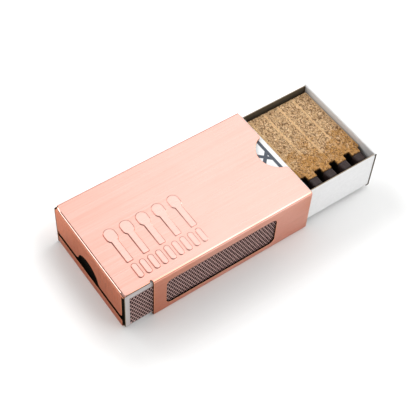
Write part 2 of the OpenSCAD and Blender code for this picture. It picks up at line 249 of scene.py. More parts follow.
class StageSettings(bpy.types.PropertyGroup):
    """Camera, floor and light"""

    place: FloatVectorProperty(
        name="Place", description="Place of the camera", default=(-0.18563, -0.24974, 0.45011),
        size=3, precision=5, subtype="TRANSLATION",
    )
    focal: FloatProperty(name="Focal length", description="Focal length in millimetres", default=88.53)
    sensor: FloatProperty(name="Sensor", description="Width of the sensor in millimetres", default=36.0)
    azimuth: angle("Azimuth", -38.86, "Turn of the view about Z")
    elevation: angle("Elevation", 53.81, "Height of the view")
    roll: angle("Roll", 4.37, "Tilt of the camera")
    floor: colour("Floor", (0.90, 0.90, 0.895), "Colour of the floor")
    floor_half: length("Floor reach", 3000.0, "Half the floor's width")
    glow: share("Glow", 0.25, "Light that the floor away from the object seems to give off")
    glow_start: length("Glow start", 0.0, "Distance from the object where the glow starts")
    glow_end: length("Glow end", 28.0, "Distance from the object where the glow is full")
    front_shade: length("Front shade", 13.0, "How much further out the glow starts in front of the sleeve")
    ambient: share("Ambient", 0.40, "Light from all round")
    overhead: share("Overhead", 1.30, "Light from the large soft light overhead")
    low_light: share("Low front", 1.48, "Light from low in front")
    high_light: share("High front", 2.9, "Light from high in front")
    corner: share("Dark corner", 0.02, "Light from behind on the left")
    strip: share("Strip", 2.9, "Light from the narrow strip in the dark corner")
    back_power: share("Back lamp", 4.4, "Power of the lamp behind on the left, in watts")
    right_power: share("Right lamp", 4.1, "Power of the lamp on the right, in watts")
    lamp_distance: length("Lamp distance", 1200.0, "Distance of the lamps from the frame's origin")


def lattice_noise(points, cell, seed):
    """Smooth noise from -1 to 1: random values at the corners of cubic cells, blended by a smoothstep."""
    place = np.asarray(points) / cell
    corner = np.floor(place).astype(np.int64)
    part = place - corner
    blend = part * part * (3 - 2 * part)
    total = np.zeros(len(place))
    for offset in itertools.product((0, 1), repeat=3):
        lattice = corner + offset
        mixed = np.bitwise_xor.reduce(lattice * HASH_PRIMES, axis=1) ^ seed
        mixed = (mixed ^ (mixed >> 13)) * 1274126177 & 0xFFFFFFFF
        value = ((mixed ^ (mixed >> 16)) & 0xFFFF) / 0x7FFF - 1
        weight = np.where(offset, blend, 1 - blend).prod(axis=1)
        total += value * weight
    return total


def arc(centre, radius, start, end, step=0.35 * MM):
    """Points at even angles on a circle from the start angle to the end angle, in degrees."""
    count = max(3, math.ceil(abs(math.radians(end - start)) * radius / step))
    angle = np.radians(np.linspace(start, end, count + 1))
    return np.asarray(centre) + radius * np.column_stack([np.cos(angle), np.sin(angle)])


def rounded_loop(items, step=0.25 * MM):
    """Closed outline of points and of corners. An item is an array of points, or a corner (point, radius),
    which becomes the arc of that radius that touches both of its sides."""
    plain = [item if isinstance(item, np.ndarray) else np.array([item[0]]) for item in items]
    parts = []
    for i, item in enumerate(items):
        if isinstance(item, np.ndarray) or item[1] == 0:
            parts.append(plain[i])
            continue
        corner, radius = np.array(item[0]), item[1]
        before = plain[i - 1][-1] - corner
        after = plain[(i + 1) % len(plain)][0] - corner
        before, after = before / np.linalg.norm(before), after / np.linalg.norm(after)
        half = math.acos(np.clip(before @ after, -1, 1)) / 2
        middle = before + after
        centre = corner + middle / np.linalg.norm(middle) * radius / math.sin(half)
        foot = radius / math.tan(half)
        first, last = corner + before * foot - centre, corner + after * foot - centre
        start = math.atan2(first[1], first[0])
        turn = (math.atan2(last[1], last[0]) - start + math.pi) % (2 * math.pi) - math.pi
        angle = start + np.linspace(0, turn, max(4, math.ceil(abs(turn) * radius / step) + 1))
        parts.append(centre + radius * np.column_stack([np.cos(angle), np.sin(angle)]))
    loop = np.vstack(parts)
    return loop[np.linalg.norm(loop - np.roll(loop, 1, axis=0), axis=1) > 1e-6 * MM]


def eased(corners, radius, *step):
    """Closed outline through corners that are all rounded by the same radius."""
    return rounded_loop([(corner, radius) for corner in corners], *step)


def rectangle(u, v, radius, *step):
    """A rounded rectangle, anticlockwise."""
    return eased([(u[0], v[0]), (u[1], v[0]), (u[1], v[1]), (u[0], v[1])], radius, *step)


def recess(edge, middle, radius, depth, ease, start):
    """Three arcs of an outline: a round recess cut into a straight edge at u = edge, between the arcs
    that ease it into that edge. start is 0 where the outline runs along +v there, and 180 along -v."""
    sign = 1 if start == 0 else -1
    rise = radius - depth + ease
    side = math.sqrt((radius + ease) ** 2 - rise**2)
    turn = math.degrees(math.atan2(side, rise))
    u, across = edge - sign * ease, sign * side
    return [
        arc((u, middle - across), ease, start, start + turn),
        arc((edge + sign * (radius - depth), middle), radius, start + 180 + turn, start + 180 - turn)[1:-1],
        arc((u, middle + across), ease, start - turn, start),
    ]


def densified(loop, step, stops=()):
    """The same closed loop with points added at most step apart, and where a side that runs straight
    across the folds passes one of the stops."""
    parts = []
    for a, b in zip(loop, np.roll(loop, -1, axis=0)):
        share = np.arange(1, math.ceil(np.linalg.norm(b - a) / step)) * step / np.linalg.norm(b - a)
        if abs(a[0] - b[0]) < 1e-6 * MM and abs(b[1] - a[1]) > step / 4:
            crossed = (np.asarray(stops) - a[1]) / (b[1] - a[1])
            crossed = crossed[(crossed > 1e-4) & (crossed < 1 - 1e-4)]
            apart = np.abs(share[:, None] - crossed[None, :]).min(axis=1, initial=1)
            clear = apart > 0.2 * step / abs(b[1] - a[1])
            share = np.sort(np.concatenate([share[clear], crossed]))
        parts.append(np.vstack([a, a + share[:, None] * (b - a)]))
    return np.vstack(parts)


def inset(loop, distance):
    """The loop moved by a distance to the left of its own direction, by the mean of its sides' normals."""
    side = np.roll(loop, -1, axis=0) - loop
    normal = np.column_stack([-side[:, 1], side[:, 0]]) / np.linalg.norm(side, axis=1)[:, None]
    before = np.roll(normal, 1, axis=0)
    return loop + distance * (normal + before) / (1 + (normal * before).sum(axis=1))[:, None]


def inside(points, loops):
    """True for each point with an odd number of the loops' sides to its right."""
    odd = np.zeros(len(points), bool)
    x, y = points[:, 0][:, None], points[:, 1][:, None]
    for loop in loops:
        a, b = loop, np.roll(loop, -1, axis=0)
        spans = (a[:, 1] > y) != (b[:, 1] > y)
        with np.errstate(divide="ignore", invalid="ignore"):
            cut = a[:, 0] + (y - a[:, 1]) * (b[:, 0] - a[:, 0]) / (b[:, 1] - a[:, 1])
        odd ^= ((spans & (cut > x)).sum(axis=1) % 2).astype(bool)
    return odd


def bend_steps(start, run, pieces=7):
    """Places of a bend's fold lines: even steps in it, and one just before and one just after it, which
    keep the flat faces' shading flat."""
    margin = 0.2 * run
    return start + np.concatenate([[-margin], np.linspace(0, run, pieces + 1), [run + margin]])


class BentPath:
    """A path in a plane that runs straight from corner to corner and turns in an arc at each inner corner.
    place(s) gives the point, and the direction of travel, at a distance s along it."""

    def __init__(self, corners, radii):
        corners = np.asarray(corners, float)
        side = np.diff(corners, axis=0)
        run = np.linalg.norm(side, axis=1)
        heading = np.arctan2(side[:, 1], side[:, 0])
        turn = (np.diff(heading) + math.pi) % (2 * math.pi) - math.pi
        radii = np.broadcast_to(radii, turn.shape)
        foot = np.concatenate([[0], radii * np.tan(np.abs(turn) / 2), [0]])
        pieces = []
        at = corners[0]
        for i, distance in enumerate(run - foot[:-1] - foot[1:]):
            pieces.append((distance, at, heading[i], 0.0))
            at = corners[i + 1] - side[i] / run[i] * foot[i + 1]
            if i < len(turn):
                pieces.append((radii[i] * abs(turn[i]), at, heading[i], np.sign(turn[i]) / radii[i]))
                at = corners[i + 1] + side[i + 1] / run[i + 1] * foot[i + 1]
        self.stations = np.concatenate([[0], np.cumsum([p[0] for p in pieces])])
        self.starts = np.array([p[1] for p in pieces])
        self.headings = np.array([p[2] for p in pieces])
        self.curves = np.array([p[3] for p in pieces])

    def place(self, s):
        """Straight pieces go on by the cosine and sine of the heading; arcs by their integrals."""
        i = np.clip(np.searchsorted(self.stations, s, "right") - 1, 0, len(self.starts) - 1)
        run, start, curve = s - self.stations[i], self.headings[i], self.curves[i]
        heading = start + curve * run
        bent = np.abs(curve) > 0
        radius = 1 / np.where(bent, curve, 1)
        x = np.where(bent, (np.sin(heading) - np.sin(start)) * radius, run * np.cos(start))
        y = np.where(bent, (np.cos(start) - np.cos(heading)) * radius, run * np.sin(start))
        return self.starts[i] + np.column_stack([x, y]), heading

    def creases(self):
        """Distances along the path of the fold lines of its bends."""
        bends = zip(self.stations[:-1], self.stations[1:], self.curves)
        lines = [bend_steps(first, last - first) for first, last, curve in bends if curve]
        return np.concatenate(lines)


def folded_sheet(outline, holes, creases, fold, thickness, rounding, grid, raised=(), height=0.0, slope=0.0):
    """A sheet cut to an outline with holes, folded, and raised inside the loops given.

    The blank is triangulated once, with its creases, its raised outlines and a grid of points in it. That
    mesh is folded twice, at the outer face and one thickness under it. Rings of points along each loop,
    at growing depths and with insets that follow a quarter circle, join the two faces round the cut edge.
    fold(points, depth) gives the places of blank points at a depth under the outer face. Returns the
    places, the faces, each face's region (0 outer, 1 inner, 2 cut edge) and the points' attributes:
    their place on the blank, how far round the cut edge they lie and how far they are raised."""
    loops = [outline, *holes]
    ring = [inset(loop, 2 * rounding) for loop in loops]
    slopes = [[(inset(loop, -share * slope), rise) for share, rise in SLOPE_STEPS] for loop in raised]
    groups = [(loop, True, 0.0) for loop in ring]
    groups += [(line, False, 0.0) for line in creases]
    groups += [(loop, True, rise) for sides in slopes for loop, rise in sides]
    fixed = np.vstack([group[0] for group in groups])
    rise = np.concatenate([np.full(len(group[0]), group[2]) for group in groups])
    edges, count = [], 0
    for line, closed, _ in groups:
        index = np.arange(count, count + len(line))
        pairs = np.column_stack([index, np.roll(index, -1)])
        edges.append(pairs if closed else pairs[:-1])
        count += len(line)
    low, high = fixed.min(axis=0), fixed.max(axis=0)
    across = [np.arange(low[k] + grid / 2, high[k], grid) for k in (0, 1)]
    free = np.stack(np.meshgrid(*across), axis=-1).reshape(-1, 2)
    free = free[inside(free, ring)]
    near = np.array([np.abs(fixed - p).max(axis=1).min() for p in free])
    free = free[near > 0.55 * grid]
    crests = [sides[-1][0] for sides in slopes]
    points = np.vstack([fixed, free])
    rise = np.concatenate([rise, inside(free, crests).astype(float) if crests else np.zeros(len(free))])
    made, _, triangles, source, _, _ = delaunay_2d_cdt(
        [Vector(p) for p in points], np.vstack(edges).tolist(), [], 0, 1e-4 * MM, True
    )
    if any(len(s) != 1 for s in source) or len(made) != len(points):
        raise RuntimeError(f"the blank's lines cross or touch: {len(made)} points from {len(points)}")
    order = np.array([s[0] for s in source])
    triangles = order[np.array(triangles)]
    triangles = triangles[inside(points[triangles].mean(axis=1), ring)]
    lift = rise * height
    skins = [fold(points, depth - lift) for depth in (0.0, thickness)]
    bow = rounding * (1 - math.sqrt(0.5))
    rims = [(rounding, 0.0), (bow, bow), (0.0, rounding)]
    rims += [(a, thickness - b) for a, b in rims[::-1]]
    first = np.cumsum([0] + [len(loop) for loop in ring])
    blank, turn, places = [points, points], [np.zeros(2 * len(points))], list(skins)
    faces, regions = [triangles, triangles[:, ::-1] + len(points)], [0, 1]
    base = 2 * len(points)
    for k, loop in enumerate(loops):
        n = len(loop)
        upper = np.arange(first[k], first[k + 1])
        rows = [upper]
        for (a, depth), share in zip(rims, CUT_SHARES):
            flat = inset(loop, a)
            blank.append(flat)
            places.append(fold(flat, np.full(n, depth)))
            turn.append(np.full(n, share))
            rows.append(np.arange(base, base + n))
            base += n
        rows.append(upper + len(points))
        for j, (a, b) in enumerate(zip(rows[:-1], rows[1:])):
            faces.append(np.column_stack([a, b, np.roll(b, -1), np.roll(a, -1)]))
            regions.append(0 if j == 0 else 1 if j == len(rows) - 2 else 2)
    co = np.vstack(places)
    region = np.concatenate([np.full(len(f), r) for f, r in zip(faces, regions)])
    corner = co[triangles[len(triangles) // 2]]
    facing = np.cross(corner[1] - corner[0], corner[2] - corner[0])
    middle = points[triangles[len(triangles) // 2]].mean(axis=0)[None, :]
    outward = fold(middle, np.zeros(1)) - fold(middle, np.full(1, thickness))
    if facing @ outward[0] < 0:
        faces = [f[:, ::-1] for f in faces]
    flat = np.vstack(blank)
    attributes = {
        "blank": np.column_stack([flat, np.zeros(len(flat))]),
        "cut_edge": np.concatenate(turn),
        "raised": np.concatenate([rise, rise, np.zeros(len(flat) - 2 * len(rise))]),
    }
    return co, faces, region, attributes


def make_piece(name, co, faces, materials, region=None, attributes=None, body=None, nodes=()):
    """A smooth-shaded mesh object from its points and its lists of triangles and quads. It rides on a
    body and stands for the CAD nodes."""
    mesh = bpy.data.meshes.new(name)
    corners = np.concatenate([f.ravel() for f in faces]).astype(np.int32)
    sizes = np.concatenate([np.full(len(f), f.shape[1]) for f in faces])
    mesh.vertices.add(len(co))
    mesh.vertices.foreach_set("co", co.astype(np.float32).ravel())
    mesh.loops.add(len(corners))
    mesh.loops.foreach_set("vertex_index", corners)
    mesh.polygons.add(len(sizes))
    mesh.polygons.foreach_set("loop_start", np.concatenate([[0], np.cumsum(sizes)[:-1]]).astype(np.int32))
    mesh.update(calc_edges=True)
    mesh.polygons.foreach_set("use_smooth", np.ones(len(sizes), bool))
    for material in materials:
        mesh.materials.append(material)
    if region is not None:
        mesh.polygons.foreach_set("material_index", region.astype(np.int32))
    for key, value in (attributes or {}).items():
        kind = "FLOAT" if value.ndim == 1 else "FLOAT_VECTOR"
        field = "value" if value.ndim == 1 else "vector"
        mesh.attributes.new(key, kind, "POINT").data.foreach_set(field, value.astype(np.float32).ravel())
    if mesh.validate():
        raise RuntimeError(f"{name} has faces that are not valid")
    piece = bpy.data.objects.new(name, mesh)
    bpy.context.scene.collection.objects.link(piece)
    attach(piece, body)
    if nodes:
        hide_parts(*nodes)
    return piece


class Wire:
    """What comes out of a node: a number, a vector or a colour. Numbers are reckoned with as plain ones
    are, and each step adds a Math node."""

    def __init__(self, socket):
        self.socket = socket
        self.tree = socket.id_data

    def math(self, operation, *others):
        """The operation on this wire and the others, in that order."""
        return wire(self.tree, "ShaderNodeMath", dict(enumerate((self, *others))), operation=operation)

    __add__ = partialmethod(math, "ADD")
    __sub__ = partialmethod(math, "SUBTRACT")
    __mul__ = partialmethod(math, "MULTIPLY")
    __truediv__ = partialmethod(math, "DIVIDE")
    __abs__ = partialmethod(math, "ABSOLUTE")
    fraction = partialmethod(math, "FRACT")
    root = partialmethod(math, "SQRT")
    larger = partialmethod(math, "MAXIMUM")
    smaller = partialmethod(math, "MINIMUM")

    def __rsub__(self, number):
        """A plain number less this wire."""
        return wire(self.tree, "ShaderNodeMath", {0: number, 1: self}, operation="SUBTRACT")

    def clamped(self):
        """The same sum, kept from 0 to 1 by its own node."""
        self.socket.node.use_clamp = True
        return self


def feed(socket, value):
    """Gives a socket a wire, a colour of three parts, or a plain value."""
    if isinstance(value, Wire):
        socket.id_data.links.new(value.socket, socket)
    else:
        socket.default_value = (*value, 1) if socket.type == "RGBA" else value


def add(tree, kind, inputs=None, **settings):
    """A shader node with its settings and its inputs."""
    made = tree.nodes.new(kind)
    for key, value in settings.items():
        setattr(made, key, value)
    for key, value in (inputs or {}).items():
        feed(made.inputs[key], value)
    return made


def wire(tree, kind, inputs=None, out=0, **settings):
    """One output of a new node."""
    return Wire(add(tree, kind, inputs, **settings).outputs[out])


def mixed(share, a, b):
    """A colour that goes from a to b as the share goes from 0 to 1."""
    return wire(share.tree, "ShaderNodeMix", {0: share, 6: a, 7: b}, 2, data_type="RGBA")


def toned(colour_of, factor):
    """A colour times a factor."""
    return tuple(min(1, part * factor) for part in colour_of)


def between(value, low, high, first=0.0, last=1.0):
    """A number that goes smoothly from first to last as the value goes from low to high."""
    inputs = {"Value": value, "From Min": low, "From Max": high, "To Min": first, "To Max": last}
    return wire(value.tree, "ShaderNodeMapRange", inputs, interpolation_type="SMOOTHSTEP")


def spread(value, first, last):
    """A number that goes from first to last over the middle part of a noise's range."""
    return between(value, 0.3, 0.7, first, last)


def zone(value, rise, fall):
    """1 between two ramps, of which the first rises and the second falls, and 0 outside them."""
    return between(value, *rise) * between(value, *fall, 1.0, 0.0)


def noise(vector, scale, detail=2.0, roughness=0.5, distortion=0.0):
    """The factor of a noise texture."""
    inputs = {"Vector": vector, "Scale": scale, "Detail": detail}
    inputs |= {"Roughness": roughness, "Distortion": distortion}
    return wire(vector.tree, "ShaderNodeTexNoise", inputs)


def grain(vector, scales, *rest):
    """Noise with a scale of its own along each axis."""
    return noise(wire(vector.tree, "ShaderNodeMapping", {"Vector": vector, "Scale": scales}), 1.0, *rest)


def parts(vector):
    """The X, Y and Z of a vector."""
    return [Wire(out) for out in add(vector.tree, "ShaderNodeSeparateXYZ", {"Vector": vector}).outputs]


def attribute(tree, name, out="Fac"):
    """A mesh attribute."""
    return wire(tree, "ShaderNodeAttribute", None, out, attribute_name=name)


def object_place(tree):
    """The Object coordinates."""
    return wire(tree, "ShaderNodeTexCoord", None, "Object")


def new_material(name):
    """A node material, its tree and its Principled shader."""
    material = bpy.data.materials.new(name)
    material.use_nodes = True
    tree = material.node_tree
    return material, tree, tree.nodes["Principled BSDF"]


def finish(shader, height=None, depth=0.0, strength=1.0, **inputs):
    """Sets the shader's inputs, named with _ for each space, and a bump of a height and a real depth."""
    for key, value in inputs.items():
        feed(shader.inputs[key.replace("_", " ")], value)
    if height is not None:
        bump = {"Height": height, "Distance": depth, "Strength": strength}
        feed(shader.inputs["Normal"], wire(shader.id_data, "ShaderNodeBump", bump))


def copper_material(s):
    """Brushed copper plate: fine lines along the blank's length and a cloudy tone. The walls, the flap and
    the lip are deeper, partly a deeper finish and partly painted shade, and a painted highlight makes the
    plate paler away from the flap end. The embossing's slopes carry painted dark outlines (shade), its
    tops are paler with wear, the blank's arrises carry a painted bright highlight, and the cut faces are
    dark, partly bare cut metal and partly painted shade."""
    material, tree, shader = new_material("brushed_copper")
    blank = attribute(tree, "blank", "Vector")
    cut, raised, upright, bend = (attribute(tree, key) for key in ("cut_edge", "raised", "upright", "bend"))
    fine = grain(blank, (90, 9000, 1), 3.0, 0.6)
    hair = grain(blank, (28, 2600, 1))
    band = grain(blank, (6, 260, 1))
    stroke = grain(blank, (6, 1700, 1))
    cloud = noise(blank, 38.0)
    lines = fine * 0.4 + hair * 0.6
    tone = between(lines, 0.36, 0.64, 0.0, 0.35)
    tone = tone + between(stroke, 0.35, 0.65) * between(upright, 0.0, 1.0, 0.28, 0.9)
    tone = tone + spread(band, 0.0, 0.14)
    tone = (tone + between(cloud, 0.35, 0.7, 0.0, 0.12)).clamped()
    base = mixed(tone, s.copper, s.copper_deep)
    # Painted shade: the upright faces take the darker copper, partly a deeper finish and partly in place of
    # the darker reflections they catch.
    base = mixed(between(upright, 0.0, 1.0, 0.0, 0.85), base, s.wall_shade_copper)
    # Painted shade: dark outlines on the embossing's slopes.
    base = mixed(zone(raised, (0.0, 0.08), (0.88, 1.0)) * 0.9, base, s.slope_shade)
    base = mixed(between(raised, 0.9, 1.0, 0.0, 0.55), base, s.worn)
    # Painted highlight: the plate grows paler away from the flap end, standing for a soft lamp reflection.
    paler = between(parts(blank)[0], SLEEVE_LOW.x, 0.2 * SLEEVE_HIGH.x, 0.0, 0.5)
    base = mixed(paler * between(cloud, 0.3, 0.6, 0.6, 1.0), base, s.worn)
    # Painted highlight along the arrises of the cut edges.
    base = mixed(zone(cut, (0.0, 0.3), (0.45, 0.6)), base, s.arris_highlight)
    # The cut faces go near black: partly bare metal, partly painted shade.
    core = between(cut, 0.45, 0.65)
    rough = spread(lines, 0.22, 0.34) + spread(stroke, 0.0, 0.1)
    rough = (rough + core * 0.3) * between(bend, 0.0, 1.0, 1.0, 0.28)
    finish(
        shader, lines, 0.012 * MM, 0.5, Base_Color=mixed(core, base, s.core), Roughness=rough,
        Metallic=1.0, Specular_Tint=s.glancing, Coat_Weight=0.2, Coat_Roughness=0.12,
    )
    return material


def coated_card(name, white, s, slate=None):
    """Coated white card: faint mottle, soft sheen and fibres that just show. If an ink is given, the
    faces carry the print, and the sides round the strikers and their folds are painted grey as shade."""
    material, tree, shader = new_material(name)
    place = object_place(tree)
    mottle = noise(place, 420.0, 3.0, 0.6)
    fibre = grain(place, (700, 2600, 2600), 3.0, 0.6)
    shade = spread(mottle, 0.0, 0.5) + between(fibre, 0.4, 0.7, 0.0, 0.35)
    base = mixed(shade, white, toned(white, 0.93))
    if slate is not None:
        base = mixed(printed_share(place, s, mottle), base, slate)
        # Painted shade: the sides and their folds turn grey.
        side = between(abs(parts(place)[1]), CARD_HIGH.y - s.fold, CARD_HIGH.y - 0.4 * MM)
        base = mixed(side, base, s.side)
    finish(
        shader, fibre, 0.02 * MM, 0.35, Base_Color=base, Roughness=spread(mottle, 0.42, 0.55),
        Coat_Weight=0.12, Coat_Roughness=0.25,
    )
    return material


def printed_share(place, s, mottle):
    """How much ink lies on the card sleeve: a slightly uneven band that runs a set distance inside the
    panel's edges, and a lattice of diamonds inside it."""
    middle = (CARD_LOW + CARD_HIGH) / 2
    half = (CARD_HIGH - CARD_LOW) / 2
    x, y, _ = parts(place)
    x = x - middle.x
    depth = (half.x - abs(x)).smaller(half.y - abs(y))
    depth = depth + spread(mottle, -0.03 * MM, 0.03 * MM)
    soft = 0.04 * MM
    start, end = s.border_inset, s.border_inset + s.border
    band = zone(depth, (start - soft, start + soft), (end - soft, end + soft))
    edge = s.lattice_line * math.sqrt(0.5) / s.lattice
    blur = soft / s.lattice
    pair = []
    for sign in (1.0, -1.0):
        off = abs(((x + y * sign) / s.lattice + 0.5).fraction() - 0.5)
        pair.append(between(off, edge - blur, edge + blur, 1.0, 0.0))
    field = between(depth, end - soft, end + soft)
    return band.larger(field * pair[0].larger(pair[1]))


def raw_card(name, value):
    """Bare grey-brown board: long faint fibres and specks."""
    material, tree, shader = new_material(name)
    place = object_place(tree)
    fibre = grain(place, (500, 2400, 1500), 4.0, 0.65)
    speck = noise(place, 2600.0)
    base = mixed(between(fibre, 0.35, 0.68), value, toned(value, 1.45))
    base = mixed(between(speck, 0.62, 0.72, 0.0, 0.5), base, toned(value, 0.45))
    finish(shader, fibre, 0.05 * MM, 0.6, Base_Color=base, Roughness=spread(fibre, 0.75, 0.92))
    return material


def striker_material(s):
    """Striking surface: maroon diamonds between two sets of slanted pale lines, and fine grit."""
    material, tree, shader = new_material("striker_diamonds")
    place = object_place(tree)
    x, _, z = parts(place)
    uneven = spread(noise(place, 1500.0), -0.02, 0.02)
    cell, row = s.striker_cell, s.striker_row
    step = cell * row / math.hypot(cell / 2, row)
    edge, soft = 0.5 - s.striker_line / 2 / step, 0.025
    pair = []
    for sign in (1, -1):
        off = abs(((x + z * (sign * cell / 2 / row)) / cell).fraction() - 0.5) + uneven
        pair.append(between(off, edge - soft, edge + soft))
    lines = pair[0].larger(pair[1])
    grit = noise(place, 5200.0, 2.0, 0.6)
    worn = between(grain(place, (60, 60, 900), 3.0, 0.6), 0.55, 0.8, 0.0, 0.12)
    dark = mixed(worn, mixed(between(grit, 0.45, 0.75), s.maroon, toned(s.maroon, 3)), s.lattice_pale)
    finish(
        shader, grit * 0.5 - lines * 0.5, 0.06 * MM, 0.7, Base_Color=mixed(lines, dark, s.lattice_pale),
        Roughness=spread(grit, 0.65, 0.9), Specular_IOR_Level=0.2,
    )
    return material


def fibre_material(s):
    """Pressed wood fibre: short curled dark and pale fibres, smoother pale ridges along the edges, and a
    golden tone towards the heads."""
    material, tree, shader = new_material("pressed_fibre")
    place = object_place(tree)
    ridge, ahead, deep = (attribute(tree, key) for key in ("ridge", "ahead", "deep"))
    swirl = wire(tree, "ShaderNodeTexNoise", {"Vector": place, "Scale": 420.0, "Detail": 1.0}, "Color")
    curl = wire(tree, "ShaderNodeVectorMath", {0: swirl, "Scale": 3.2 * MM}, operation="SCALE")
    curled = wire(tree, "ShaderNodeVectorMath", {0: place, 1: curl}, operation="ADD")
    dark = grain(curled, (1300, 620, 1300), 4.0, 0.65)
    light = grain(curled, (700, 1500, 1500), 3.0, 0.6, 0.5)
    warmth = (ahead + spread(noise(place, 210.0, 3.0, 0.6), -0.3, 0.3)).clamped()
    cool = (1.0 - warmth).clamped()
    base = mixed(between(warmth, 0.25, 0.75), s.tan, s.golden)
    base = mixed(between(light, 0.48, 0.62, 0.0, 0.85) * between(cool, 0.0, 1.0, 0.35, 1.0), base, s.pale)
    smooth = (ridge - between(dark, 0.52, 0.68, 0.0, 0.6)).clamped()
    base = mixed(between(dark, 0.46, 0.6, 0.0, 0.95) * (1.0 - smooth), base, s.fleck)
    base = mixed(smooth * 0.75, base, mixed(between(warmth, 0.3, 0.8), s.smooth, s.golden))
    # Painted shade deep in the notches between the necks.
    base = mixed(deep, base, s.painted_notch_shade)
    finish(shader, light - dark, 0.35 * MM, 0.85, Base_Color=base, Roughness=0.85, Specular_IOR_Level=0.3)
    return material


def head_material(s):
    """Head compound: near-black plum, fine pale grain, soft waxy sheen."""
    material, tree, shader = new_material("head_compound")
    place = object_place(tree)
    fine = noise(place, 3200.0, 3.0, 0.6)
    broad = noise(place, 500.0)
    share_of = between(fine, 0.42, 0.7) * spread(broad, 0.4, 1.0)
    finish(
        shader, fine, 0.09 * MM, 0.7, Base_Color=mixed(share_of, s.head, s.head_grain),
        Roughness=spread(broad, 0.5, 0.68), Specular_IOR_Level=0.35,
    )
    return material


def floor_material(s):
    """Plain pale floor with a very faint tooth. It glows away from the object, for the camera and for
    reflections alike, so that it fades to white."""
    material, tree, shader = new_material("pale_floor")
    place = object_place(tree)
    x, y, _ = parts(place)
    path = add(tree, "ShaderNodeLightPath").outputs
    camera, glossy, through = (Wire(path[f"Is {kind} Ray"]) for kind in ("Camera", "Glossy", "Transmission"))
    sides = ((x, SLEEVE_LOW.x, TRAY_HIGH.x), (y, SLEEVE_LOW.y - s.front_shade, SLEEVE_HIGH.y))
    across, along = ((abs(value - (a + b) / 2) - (b - a) / 2).larger(0.0) for value, a, b in sides)
    reach = (across * across + along * along).root()
    glow = between(reach, s.glow_start, s.glow_end, 0.0, s.glow) * camera.larger(glossy).larger(through)
    finish(
        shader, Base_Color=mixed(noise(place, 90.0), s.floor, toned(s.floor, 0.99)), Roughness=0.9,
        Specular_IOR_Level=0.1, Emission_Color=(1.0, 1.0, 1.0), Emission_Strength=glow,
    )
    return material


def crease_lines(values, axis, loops, span=(-1.0, 1.0), step=3.5 * MM):
    """Lines of points across the blank: at each value of v and along u (axis 0), or at each value of u and
    along v (axis 1). Each line keeps to the material inside the loops and to the span."""
    lines = []
    for value in values:
        cuts = []
        for a in loops:
            b = np.roll(a, -1, axis=0)
            hit = (a[:, 1 - axis] > value) != (b[:, 1 - axis] > value)
            share = (value - a[hit, 1 - axis]) / (b - a)[hit, 1 - axis]
            cuts += list(a[hit, axis] + share * (b - a)[hit, axis])
        cuts.sort()
        for low, high in zip(cuts[::2], cuts[1::2]):
            low, high = max(low, span[0]), min(high, span[1])
            if high - low > step / 2:
                run = np.linspace(low, high, math.ceil((high - low) / step) + 1)
                pair = [run, np.full(len(run), value)]
                lines.append(np.column_stack(pair if axis == 0 else pair[::-1]))
    return lines


